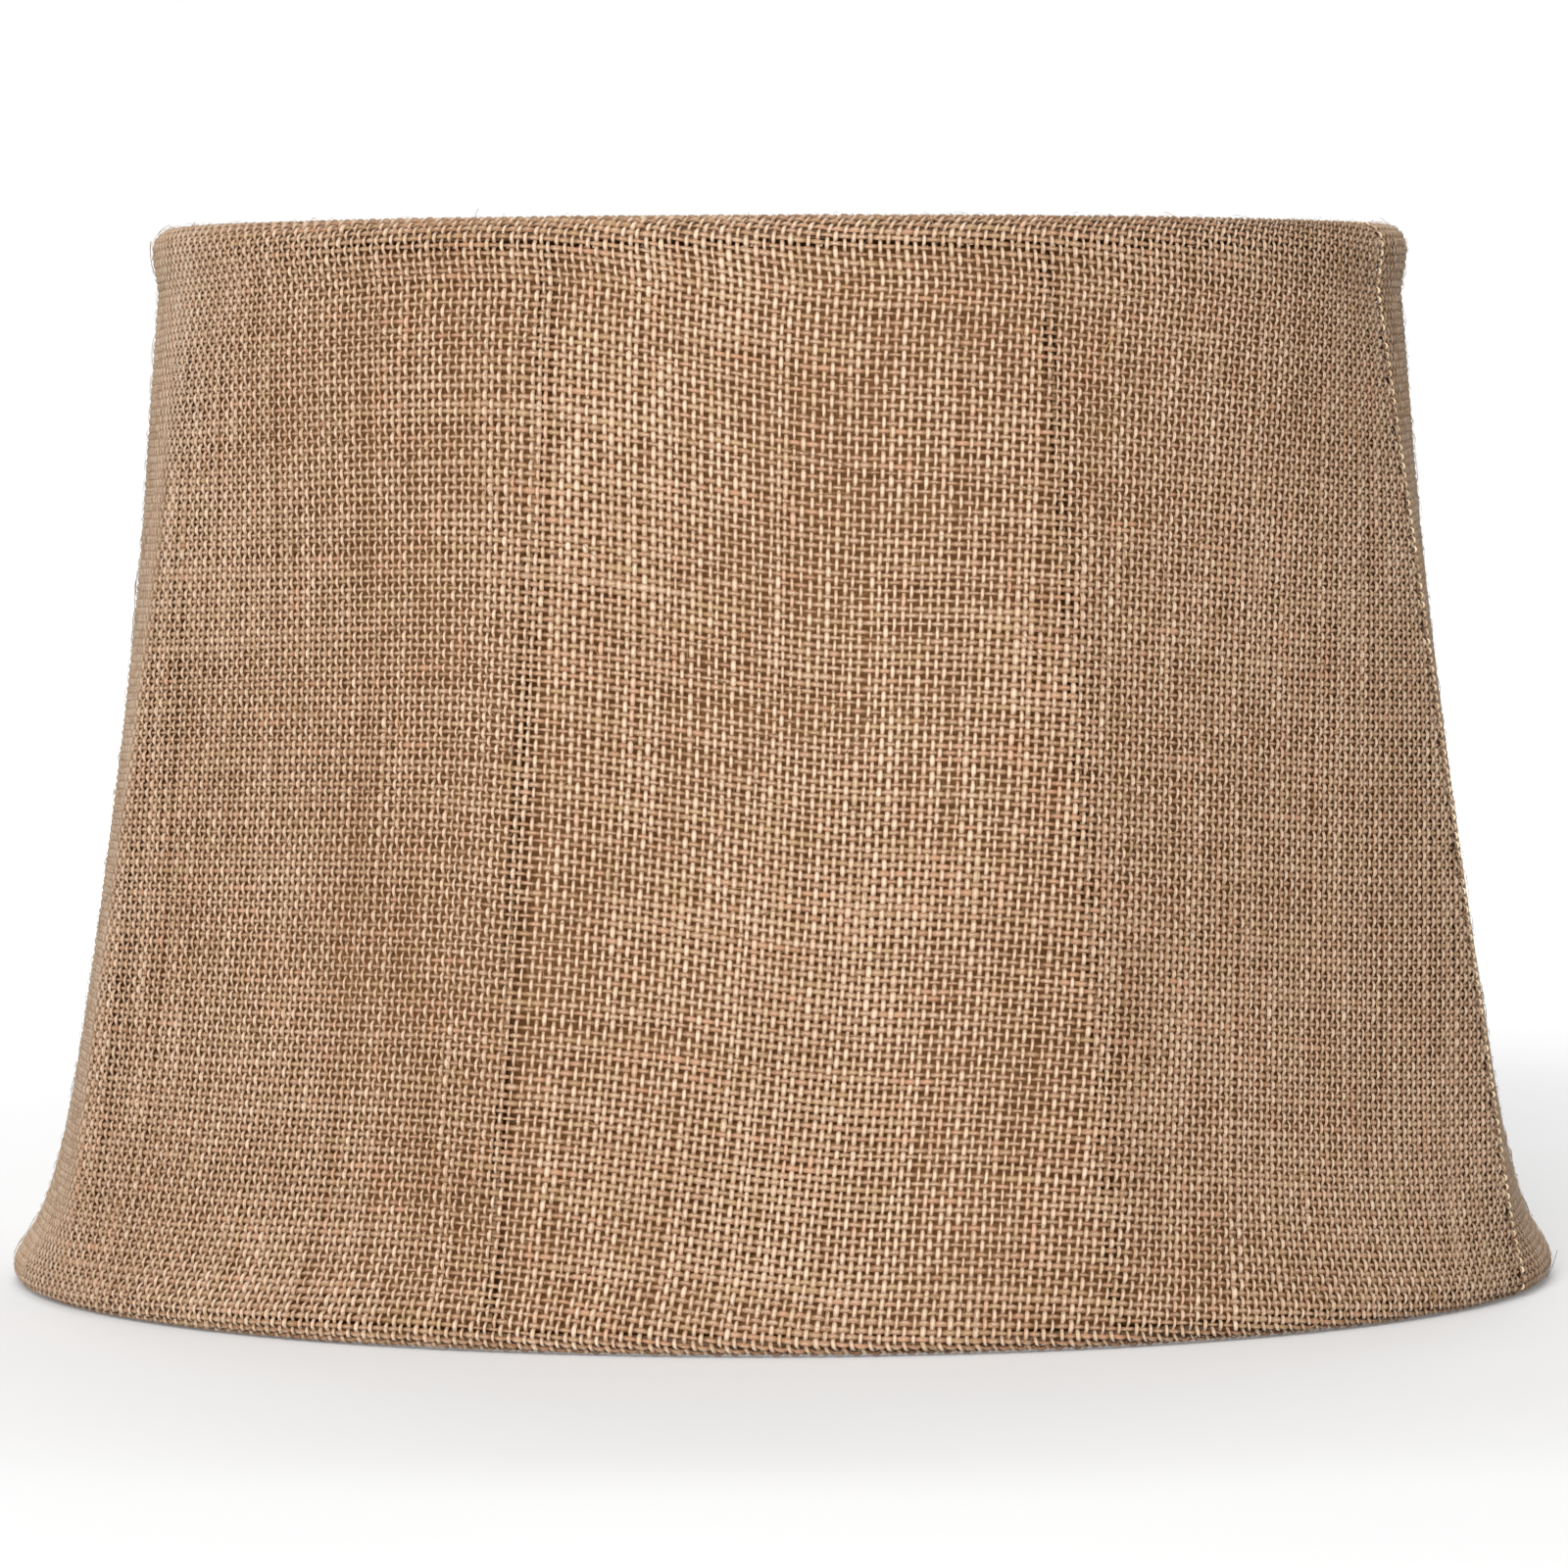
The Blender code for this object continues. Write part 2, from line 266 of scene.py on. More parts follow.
TOP_RADIUS, TOP_Z = ring_sizes("top_ring")
BOTTOM_RADIUS, BOTTOM_Z = ring_sizes("bottom_ring")
SPACING = TOP_Z - BOTTOM_Z
LEAN = math.atan2(BOTTOM_RADIUS - TOP_RADIUS, SPACING)
PITCH = math.pi / 4                  # turn from one rib to the next
FIRST_RIB = math.radians(24)         # turn from the front, towards +X
SEAM = FIRST_RIB + PITCH             # the right-hand seam's rib

FACE = 0.0007                        # mid-cloth to the crowns of its yarns
TOP_ROLL = 0.0057 - FACE             # ring's centre line to mid-cloth
BOTTOM_ROLL = 0.0039 - FACE
RIB_COVER = 0.0029 - FACE            # rib's centre line to mid-cloth
TOP_BLEND = 0.05                     # shares of a rib over which a roll runs out
BOTTOM_BLEND = 0.06
HEM = 0.0085                         # length turned down inside the top ring
UNDER_TURN = -200                    # degrees round the bottom ring to the cloth's edge
LOWEST = 0.00068                     # mid-cloth stays this far above the floor
LEVELLING = 0.00025                  # how softly it flattens there
print(f"rings {TOP_RADIUS:.4f} at {TOP_Z:.4f}, {BOTTOM_RADIUS:.4f} at {BOTTOM_Z:.4f}")


# %% The section at a rib
def ease(value):
    """A smooth step from 0 to 1."""
    value = np.clip(value, 0.0, 1.0)
    return value * value * (3 - 2 * value)


def section_at_rib():
    """Radius and height of mid-cloth along the section, and the run from its start."""
    lean = math.degrees(LEAN)
    hem = np.linspace(HEM, 0.0, 20, endpoint=False)
    parts = [np.c_[np.full(len(hem), TOP_RADIUS - TOP_ROLL), TOP_Z - hem]]
    turned = np.radians(np.linspace(180, lean, 120, endpoint=False))
    parts.append(np.c_[TOP_RADIUS + TOP_ROLL * np.cos(turned), TOP_Z + TOP_ROLL * np.sin(turned)])
    share = np.linspace(0.0, 1.0, 900, endpoint=False)
    proud = (RIB_COVER + (TOP_ROLL - RIB_COVER) * (1 - ease(share / TOP_BLEND))
             + (BOTTOM_ROLL - RIB_COVER) * ease((share - (1 - BOTTOM_BLEND)) / BOTTOM_BLEND))
    rib_radius = TOP_RADIUS + (BOTTOM_RADIUS - TOP_RADIUS) * share
    rib_height = TOP_Z - SPACING * share
    parts.append(np.c_[rib_radius + proud * math.cos(LEAN), rib_height + proud * math.sin(LEAN)])
    turned = np.radians(np.linspace(lean, UNDER_TURN, 120))
    under = BOTTOM_Z + BOTTOM_ROLL * np.sin(turned)
    under = LOWEST + np.logaddexp(0.0, (under - LOWEST) / LEVELLING) * LEVELLING
    parts.append(np.c_[BOTTOM_RADIUS + BOTTOM_ROLL * np.cos(turned), under])
    line = np.concatenate(parts)
    steps = np.hypot(*np.diff(line, axis=0).T)
    return line[:, 0], line[:, 1], np.concatenate([[0.0], np.cumsum(steps)])


SECTION_R, SECTION_Z, SECTION_RUN = section_at_rib()
FULL_RUN = SECTION_RUN[-1]
print(f"cloth from edge to edge down a rib: {FULL_RUN * 1000:.1f} mm")

# %% The cover's surface
PANEL_DRAW = 0.0091                  # greatest draw-in, midway between two ribs
DRAW_START = 0.30                    # share of the height over which the draw-in grows
DRAW_END = 0.99                      # and where it has run out
CREASE = 0.0035                      # half-width over which the cloth bends at a rib
FOLD = 0.0006                        # radius of the turned edge at a seam
FOLD_REACH = 1.15 * FOLD             # the turned edge ends this far from the seam's line
MEAN_RADIUS = 0.18


def cover_place(turn, run):
    """Points of mid-cloth at turns from the front and runs down the section.

    The draw-in follows a chord between two ribs. Beside a seam the cloth curls inwards.
    """
    radius = np.interp(run, SECTION_RUN, SECTION_R)
    height = np.interp(run, SECTION_RUN, SECTION_Z)
    share = np.clip((TOP_Z - height) / SPACING, 0.0, 1.0)
    depth = PANEL_DRAW * (1 - np.exp(-(share / DRAW_START) ** 1.6))
    depth = depth * (1 - np.clip(share / DRAW_END, 0.0, 1.0) ** 14)
    off_rib = PITCH / 2 - np.abs((turn - FIRST_RIB) % PITCH - PITCH / 2)
    crease = CREASE / radius
    off_rib = np.sqrt(off_rib ** 2 + crease ** 2) - crease
    chord = 1 - (1 / np.cos(PITCH / 2 - off_rib) - 1) / (1 / math.cos(PITCH / 2) - 1)
    radius = radius - depth * chord
    half_turn = (turn - SEAM + math.pi / 2) % math.pi - math.pi / 2
    off_seam = np.abs(half_turn) * radius
    curl = np.clip((FOLD_REACH - off_seam) / FOLD, 0.0, math.pi / 2)
    shift = (FOLD_REACH - FOLD * np.sin(curl) - off_seam) * (curl > 0)
    turn = turn + np.sign(half_turn) * shift / radius
    radius = radius - FOLD * (1 - np.cos(curl))
    return np.stack([radius * np.sin(turn), -radius * np.cos(turn), height], axis=-1)


def cover_facing(turn, run):
    """Which way the cloth's face looks there."""
    tiny = 0.00012
    run = np.clip(run, 2 * tiny, FULL_RUN - 2 * tiny)
    nudge = tiny / MEAN_RADIUS
    across = cover_place(turn + nudge, run) - cover_place(turn - nudge, run)
    down = cover_place(turn, run + tiny) - cover_place(turn, run - tiny)
    facing = np.cross(down, across)
    return facing / np.maximum(np.linalg.norm(facing, axis=-1, keepdims=True), 1e-12)


# %% [markdown]
# ## How the burlap was cut and laid
#
# Burlap is flat and its yarns are straight, but a shade that widens downwards is part of
# a cone, and a cone unrolls to a fan. So the yarns that run down the shade stay parallel
# on the cut piece and lean over more and more on the shade, away from the place where
# they hang plumb. The cloth was also pulled down harder in some places than in others,
# which tips the cross yarns there, and dragged sideways in the upper half, which bends
# the yarns that run down. Each half is one cut piece.

# %% From the flat cut to the shade
WARP_PITCH = 0.00213                 # burlap of about 12 yarns to the inch
WEFT_PITCH = 0.00204                 # and a few more picks than ends
FAN = math.sin(LEAN)                 # turn on the flat for each turn on the shade
PLUMB = 0.054                        # where the yarns hang plumb, on the flat
LAY_RADIUS = 0.185                   # turns a length across the cloth into a turn
# Slopes of the yarns across, at turns from a half's middle, in degrees
TIP_AT = np.radians([-90, -30, -19, -9, -1, 7, 15, 22, 30, 38, 46, 65, 90])
TIP = np.radians([-1, -1.2, -1.4, -0.8, 3, 6.2, 8.5, 6.7, 1.3, 2.8, 4.7, 5.2, 3])
TURNS = np.linspace(-1.8, 1.8, 400)
TIPPED = np.cumsum(np.tan(np.interp(TURNS, TIP_AT, TIP))) * (TURNS[1] - TURNS[0]) * LAY_RADIUS
TIPPED = TIPPED - np.interp(0.0, TURNS, TIPPED)
# Slopes of the yarns that run down, at runs from the cloth's top edge
BEND_AT = (0.0, 0.027, 0.045, 0.060, 0.09, 0.19, 0.245, 0.31)
BEND = np.radians([-2.0, -2.4, 3.0, 5.6, 5.4, 2.6, 0.0, 0.0])
RUNS = np.linspace(-0.06, 0.37, 400)
BENT = np.cumsum(np.tan(np.interp(RUNS, BEND_AT, BEND))) * (RUNS[1] - RUNS[0])
UNBENT = 0.15                        # run at which they stand where they were cut
BENT = BENT - np.interp(UNBENT, RUNS, BENT)
print(f"wefts climb or fall by up to {np.abs(TIPPED).max() * 1000:.0f} mm across a half")


def lay(across, down):
    """Turn from the half's middle, and run, of places on the flat cut.

    Each depends on the other, so a first guess is bettered a few times.
    """
    turn = across / LAY_RADIUS
    for _ in range(7):
        run = down + np.interp(turn, TURNS, TIPPED)
        ray = np.interp(run, SECTION_RUN, SECTION_R) / FAN
        turn = (np.arcsin(np.clip(across / ray, -0.9, 0.9)) - PLUMB) / FAN
        turn = turn + np.interp(run, RUNS, BENT) / LAY_RADIUS
    return turn, run


# %% [markdown]
# ## The yarns
#
# In a plain weave each yarn passes over one crossing yarn and under the next. Jute is
# spun from coarse fibre, so a yarn wanders, and it is thin in one place and thick, a
# slub, in another. Those faults are what make burlap look like burlap. Each yarn is an
# arched strip of three points across, with two places for each crossing. The strips
# need not be closed underneath, because a crossing yarn or the lining is behind them.
# A half is made in two quarters, with its yarns down and its yarns across apart, so that
# no piece grows too big.


# %% Random fields
def drift(rng, shape, reach):
    """Random numbers on a grid, smooth over a reach along each axis, with a spread of 1."""
    field = rng.normal(size=shape)
    for axis, sigma in enumerate(reach):
        if sigma > 0:
            waves = np.fft.fftfreq(shape[axis]) * 2 * math.pi
            keep = np.exp(-0.5 * (waves * sigma) ** 2)
            keep = keep.reshape([-1 if a == axis else 1 for a in range(2)])
            field = np.fft.ifft(np.fft.fft(field, axis=axis) * keep, axis=axis).real
    return field / field.std()


def slubs(rng, shape, share, reach):
    """Thick places along yarns, which run along the second axis."""
    starts = (rng.random(shape) < share / (reach * 2.5)) * rng.uniform(0.5, 1.0, shape)
    waves = np.fft.fftfreq(shape[1]) * 2 * math.pi
    keep = np.exp(-0.5 * (waves * reach) ** 2) * reach * math.sqrt(2 * math.pi)
    return np.fft.ifft(np.fft.fft(starts, axis=1) * keep, axis=1).real


# %% One half's yarns
WARP_WIDTH = 0.00110
WEFT_WIDTH = 0.00118
CRIMP = 0.00030              # how far a yarn swings to either side of mid-cloth
CROWN = 0.00038              # top of the arch above the yarn's line
SKIRT = 0.00014              # its two edges, below the line
OVER, UNDER = 1.05, 0.88     # its width where it passes over and under, as shares
INSIDE, TURN, RUN = 3, 4, 5  # where a point's values hold these
FLAT = slice(6, 8)


def yarn_strips(middle, spots, rows_down, width, tone, tint, swing):
    """Points and values of one family of yarns.

    spots holds the crossings' places on the flat cut, yarn by yarn along the first
    axis, and rows_down is true of the yarns that run down. swing is +1 where a yarn
    passes over and -1 where it passes under. A point's values are its tone, tint and
    relief shade, whether it is inside the half, its turn and run, and its spot on the flat cut.
    The relief shade is 1 on top of a yarn that passes over and -1 at the edges of one that
    passes under; the material paints light and shade from it.
    """
    before, after = spots[:, :-1], spots[:, 1:]
    count = before.shape[1]
    line = np.stack([before * 0.75 + after * 0.25, before * 0.25 + after * 0.75], axis=2)
    line = line.reshape(spots.shape[0], count * 2, 2)

    def paired(values):
        both = np.stack([values[:, :-1], values[:, 1:]], axis=2)
        return both.reshape(spots.shape[0], count * 2)

    swing, width, tone, tint = paired(swing), paired(width), paired(tone), paired(tint)
    ahead = np.gradient(line, axis=1)
    side = np.stack([ahead[..., 1], -ahead[..., 0]], axis=-1)
    side = side / np.linalg.norm(side, axis=-1, keepdims=True)
    if not rows_down:
        side = -side
    wide = width * np.where(swing > 0, OVER, UNDER)
    places, values = [], []
    for offset in (-0.5, 0.0, 0.5):
        flat = line + side * (wide * offset)[..., None]
        turn, run = lay(flat[..., 0], flat[..., 1])
        facing = cover_facing(turn + middle, run)
        lift = swing * CRIMP + (CROWN * width / WEFT_WIDTH if offset == 0 else -SKIRT)
        places.append(cover_place(turn + middle, run) + facing * lift[..., None])
        inside = (run > 0) & (run < FULL_RUN) & (np.abs(turn) < math.pi / 2)
        # Painted light and shade: highest on top of a yarn that passes over, lowest at the edges
        # of one that passes under.
        crown = swing * 0.5 + (0.5 if offset == 0 else -0.5)
        values.append(np.stack([tone, tint, crown, inside * 1.0, turn, run,
                                flat[..., 0], flat[..., 1]], axis=-1))
    return np.stack(places, axis=2), np.stack(values, axis=2)


def strip_mesh(name, places, values, keep):
    """A mesh of the strips' faces for which keep is true of all four corners."""
    yarns, samples = places.shape[:2]
    number = np.arange(yarns * samples * 3).reshape(yarns, samples, 3)
    a, b = number[:, :-1, :-1], number[:, 1:, :-1]
    c, d = number[:, 1:, 1:], number[:, :-1, 1:]
    faces = np.stack([a, b, c, d], axis=-1).reshape(-1, 4)
    kept = keep.reshape(-1)[faces].all(axis=1)
    faces = faces[kept]
    used, faces = np.unique(faces, return_inverse=True)
    faces = faces.reshape(-1, 4)
    points = places.reshape(-1, 3)[used]
    facts = values.reshape(-1, values.shape[-1])[used]
    mesh = bpy.data.meshes.new(name)
    mesh.vertices.add(len(points))
    mesh.vertices.foreach_set("co", points.astype(np.float32).ravel())
    mesh.loops.add(faces.size)
    mesh.loops.foreach_set("vertex_index", faces.astype(np.int32).ravel())
    mesh.polygons.add(len(faces))
    mesh.polygons.foreach_set("loop_start", np.arange(0, faces.size, 4, dtype=np.int32))
    mesh.update(calc_edges=True)
    mesh.polygons.foreach_set("use_smooth", np.ones(len(faces), bool))
    # The third value drives the yarns' painted highlight and painted shade.
    for word, column in (("tone", 0), ("tint", 1), ("crown", 2)):
        layer = mesh.attributes.new(word, "FLOAT", "POINT")
        layer.data.foreach_set("value", facts[:, column].astype(np.float32))
    flat = facts[:, FLAT]
    low, high = flat.min(axis=0), flat.max(axis=0)
    spread = 0.005 + 0.99 * (flat - low) / (high - low).max()
    for word, spot in (("OFBake", spread), ("cut", flat * 10)):
        layer = mesh.uv_layers.new(name=word)
        layer.data.foreach_set("uv", spot[faces.ravel()].astype(np.float32).ravel())
    piece = bpy.data.objects.new(name, mesh)
    bpy.context.scene.collection.objects.link(piece)
    return piece


# %% [markdown]
# ## Burlap's finish
#
# Raw jute is a warm brown straw. No two lengths of yarn match: some are pinkish, some
# golden, some grey. Light and shade are painted onto the yarns as well: the top of each
# yarn is painted paler, as a highlight, and its sides, down between its neighbours, are
# painted darker and redder, as shade. Those differences are stored on the yarns' points.
# Fine fibre lines run along each yarn at the twist's slant. The yarns that run down are a
# little paler than the ones that cross them.


# %% Burlap material
def burlap_finish(name, warp):
    """Jute yarn: for the yarns that run down if warp is true, or for those across."""
    material, start, sockets = new_finish(name)
    tone = start.node("ShaderNodeAttribute", {"attribute_name": "tone"}, {}, output=2)
    tint = start.node("ShaderNodeAttribute", {"attribute_name": "tint"}, {}, output=2)
    crown = start.node("ShaderNodeAttribute", {"attribute_name": "crown"}, {}, output=2)
    cut = start.node("ShaderNodeUVMap", {"uv_map": "cut"}, {})
    slant, stretch = (0.45, (14.0, 2.2, 1.0)) if warp else (-0.45, (2.2, 14.0, 1.0))
    turned = start.node("ShaderNodeMapping", {}, {
        "Vector": cut, "Rotation": (0.0, 0.0, slant), "Scale": stretch})
    fibre = start.node("ShaderNodeTexNoise", {}, {
        "Vector": turned, "Scale": 60.0, "Detail": 3.0, "Roughness": 0.6})
    place = start.node("ShaderNodeTexCoord", {}, {}, output=3)
    patch = start.node("ShaderNodeTexNoise", {}, {
        "Vector": place, "Scale": 18.0, "Detail": 3.0, "Roughness": 0.6})
    fluff = start.node("ShaderNodeTexNoise", {}, {"Vector": cut, "Scale": 320.0, "Detail": 1.0})
    # Painted highlight on the top of each yarn, and painted shade on its sides and where it
    # passes under.
    height = crown.ranged(-1.0, 1.0, 0.0, 1.0)
    painted_highlight, base = (0.54, 0.47) if warp else (0.44, 0.29)
    light = height * height * painted_highlight
    light = light + fibre.ranged(0.25, 0.75, -0.22, 0.22) + tone * 0.06
    light = light + fluff.ranged(0.25, 0.75, -0.14, 0.14)
    light = light + patch.ranged(0.3, 0.7, -0.05, 0.05) + base
    jute = light.node("ShaderNodeValToRGB", {"stops": [
        (0.05, paint((62, 35, 16))[:3]), (0.35, paint((115, 82, 57))[:3]),
        (0.65, paint((149, 123, 100))[:3]), (0.98, paint((187, 168, 147))[:3])]},
        {"Fac": light})
    warm = tint.ranged(0.8, 2.8, 0.0, 0.45).mixed(jute, paint((163, 118, 91)))
    cool = tint.ranged(-0.6, -2.6, 0.0, 0.40).mixed(warm, paint((140, 116, 78)))
    feed(cool, sockets["Base Color"])
    sockets["Roughness"].default_value = 0.85
    sockets["Specular IOR Level"].default_value = 0.15
    bump = start.node("ShaderNodeBump", {}, {
        "Strength": 0.55, "Distance": 0.0002, "Height": fibre})
    feed(bump, sockets["Normal"])
    return material


WARP_FINISH = burlap_finish("burlap_warp", True)
WEFT_FINISH = burlap_finish("burlap_weft", False)
print("finishes", WARP_FINISH.name, WEFT_FINISH.name)

# %% Weave the two halves
ARM_TURNS = [SEAM + step * math.tau / 3 for step in range(3)]
SLIT = 0.0026            # half-width of the hem's slit for an arm
SLIT_END = HEM + 0.004   # run down to which it is cut
CUT_HALF_WIDTH = 0.42    # of the cloth that is woven before it is trimmed to shape
STRAY = 0.00016          # of one yarn over its own length
WARP_SWAY = 0.0007       # of many yarns together
WEFT_SWAY = 0.0009
WARP_OFFSET = 0.00010    # of a whole yarn, towards one neighbour
WEFT_OFFSET = 0.00005
SHAKE = 0.00007          # from one crossing to the next
THINNEST = 0.62          # shares of a yarn's usual width
THICKEST = 1.62


def clear_of_arms(turn, run):
    """False where the hem has to be slit for an arm of the fitter."""
    free = np.ones(turn.shape, bool)
    for arm in ARM_TURNS:
        off = (turn - arm + math.pi) % math.tau - math.pi
        free &= (np.abs(off) * TOP_RADIUS > SLIT) | (run > SLIT_END)
    return free


def weave_half(side, middle, seed):
    """The yarns of one cut half, as four pieces: warp and weft, left and right.

    A yarn strays over its own length, sways together with many others, lies nearer one
    neighbour than the other, and shakes a little at each crossing.
    """
    rng = np.random.default_rng(seed)
    reach_across = int(CUT_HALF_WIDTH / WARP_PITCH)
    across = np.arange(-reach_across, reach_across + 1)
    down = np.arange(-26, int(FULL_RUN / WEFT_PITCH) + 28)
    shape = (len(across), len(down))
    spots = np.stack(np.meshgrid(across, down, indexing="ij"), axis=-1)
    spots = spots * (WARP_PITCH, WEFT_PITCH)
    spots[..., 0] += (STRAY * drift(rng, shape, (0.7, 12))
                      + WARP_SWAY * drift(rng, shape, (14, 30))
                      + WARP_OFFSET * drift(rng, (shape[0], 1), (0, 0))
                      + SHAKE * drift(rng, shape, (0, 0.8)))
    spots[..., 1] += (STRAY * drift(rng, shape, (12, 0.7))
                      + WEFT_SWAY * drift(rng, shape, (30, 14))
                      + WEFT_OFFSET * drift(rng, (1, shape[1]), (0, 0))
                      + SHAKE * drift(rng, shape, (0.8, 0)))
    over = 1.0 - 2.0 * ((across[:, None] + down[None, :]) % 2)
    fluffy = drift(rng, shape, (8, 8))
    made = []
    for family, grid, swing, full in (
            ("warp", spots, over, fluffy),
            ("weft", spots.transpose(1, 0, 2), -over.T, fluffy.T)):
        size = grid.shape[:2]
        thick = slubs(rng, size, 0.05, 6.0) + 0.6 * slubs(rng, size, 0.10, 2.0)
        own = drift(rng, (size[0], 1), (0.6, 0))
        usual = WARP_WIDTH if family == "warp" else WEFT_WIDTH
        width = usual * (0.96 + 0.04 * own + 0.09 * drift(rng, size, (0, 3)) + 0.30 * thick
                         + 0.08 * drift(rng, size, (0, 0.5)) + 0.06 * full)
        width = np.clip(width, THINNEST * usual, THICKEST * usual)
        tone = (0.14 * own + 0.5 * drift(rng, size, (0, 3)) + 0.5 * drift(rng, size, (0, 0))
                + 0.3 * thick)
        tint = 0.2 * drift(rng, (size[0], 1), (0.5, 0)) + drift(rng, size, (0.3, 1.6))
        places, values = yarn_strips(middle, grid, family == "warp", width, tone, tint, swing)
        free = clear_of_arms(values[..., TURN] + middle, values[..., RUN])
        inside = (values[..., INSIDE] > 0) & free
        centre = values[..., TURN].mean(axis=2, keepdims=True)
        for hand, wanted in (("left", centre < 0), ("right", centre >= 0)):
            joined = wanted | np.roll(wanted, 1, axis=1)
            name = f"cover_{side}_{hand}_{family}"
            piece = strip_mesh(name, places, values, inside & joined)
            piece.data.materials.append(WARP_FINISH if family == "warp" else WEFT_FINISH)
            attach(piece, "root")
            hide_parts(f"cover_{side}")
            made.append(piece)
            print(name, "faces", len(piece.data.polygons))
    return made


FRONT_MIDDLE = SEAM - math.pi / 2
cover = {"front": weave_half("front", FRONT_MIDDLE, 11),
         "back": weave_half("back", FRONT_MIDDLE + math.pi, 12)}

# %% [markdown]
# ## Small things made once and copied
#
# A stitch and a loose fibre are each modelled once, from a primitive. A placement is
# the three directions and the spot that one copy takes. All the copies of one thing make
# one piece, and each copy keeps a shade of its own.


# %% Copies of a small model
def copied(name, model, placements, finish, seed):
    """One piece made of a model's copies. Placements are arrays of 3 x 4: axes, then spot."""
    rng = np.random.default_rng(seed)
    points = np.array([v.co for v in model.data.vertices])
    sides = [list(face.vertices) for face in model.data.polygons]
    spread = np.einsum("nij,pj->npi", placements[:, :, :3], points) + placements[:, None, :, 3]
    steps = np.arange(len(placements)) * len(points)
    faces = [[corner + step for corner in side] for step in steps.tolist() for side in sides]
    mesh = bpy.data.meshes.new(name)
    mesh.from_pydata(spread.reshape(-1, 3).tolist(), [], faces)
    mesh.polygons.foreach_set("use_smooth", np.ones(len(faces), bool))
    layer = mesh.attributes.new("tone", "FLOAT", "POINT")
    tones = np.repeat(rng.normal(size=len(placements)), len(points))
    layer.data.foreach_set("value", tones.astype(np.float32))
    mesh.materials.append(finish)
    piece = bpy.data.objects.new(name, mesh)
    bpy.context.scene.collection.objects.link(piece)
    bpy.data.objects.remove(model)
    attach(piece, "root")
    print(name, "copies", len(placements), "faces", len(faces))
    return piece


def placed(spots, ahead, up, length=1.0, width=1.0):
    """Placements whose first axis points ahead and whose third points up from the cloth."""
    ahead = ahead / np.linalg.norm(ahead, axis=-1, keepdims=True)
    side = np.cross(up, ahead)
    side = side / np.linalg.norm(side, axis=-1, keepdims=True)
    lifted = np.cross(ahead, side)
    grow = np.broadcast_to(np.asarray(length)[..., None], ahead.shape)
    thick = np.broadcast_to(np.asarray(width)[..., None], ahead.shape)
    return np.stack([ahead * grow, side * thick, lifted * thick, spots], axis=-1)


def fibre_finish(name, dark, pale, gloss):
    """Twisted or single fibres: a shade for each copy, and fine streaks."""
    material, start, sockets = new_finish(name)
    tone = start.node("ShaderNodeAttribute", {"attribute_name": "tone"}, {}, output=2)
    place = start.node("ShaderNodeTexCoord", {}, {}, output=3)
    streak = start.node("ShaderNodeTexNoise", {}, {"Vector": place, "Scale": 2500.0})
    shade = tone.ranged(-2.0, 2.0, 0.0, 1.0) + streak.ranged(0.3, 0.7, -0.15, 0.15)
    feed(shade.mixed(paint(dark), paint(pale)), sockets["Base Color"])
    feed(streak.ranged(0.3, 0.7, gloss - 0.08, gloss + 0.08), sockets["Roughness"])
    sockets["Specular IOR Level"].default_value = 0.3
    return material


# %% [markdown]
# ## The seams
#
# The two halves meet over opposite ribs, each with its raw edge turned in. A thread
# holds them with short straight stitches a millimetre beside the groove. One stitch is a
# thin rod whose ends dive into the cloth, so a cylinder is cut across and its ends are
# pushed down and narrowed.


# %% One stitch
def make_rod(sides, cuts):
    """A thin rod a metre long, one millimetre across, along X, cut across several times."""
    bpy.ops.object.select_all(action="DESELECT")
    bpy.ops.mesh.primitive_cylinder_add(vertices=sides, radius=0.0005, depth=1.0,
                                        rotation=(0.0, math.pi / 2, 0.0))
    rod = bpy.context.object
    bpy.ops.object.transform_apply(location=True, rotation=True, scale=True)
    bpy.ops.object.mode_set(mode="EDIT")
    bpy.ops.mesh.select_mode(type="EDGE")
    for cut in range(1, cuts):
        bpy.ops.mesh.select_all(action="SELECT")
        bpy.ops.mesh.bisect(plane_co=(cut / cuts - 0.5, 0.0, 0.0), plane_no=(1.0, 0.0, 0.0))
    bpy.ops.object.mode_set(mode="OBJECT")
    return rod


STITCH_DIVE = 0.0009     # how deep a stitch's ends go
stitch = make_rod(8, 6)
for corner in stitch.data.vertices:
    out = abs(corner.co.x) * 2
    corner.co.y *= 1 - 0.5 * out ** 4
    corner.co.z = corner.co.z * (1 - 0.5 * out ** 4) - STITCH_DIVE * out ** 3
print("stitch faces", len(stitch.data.polygons))

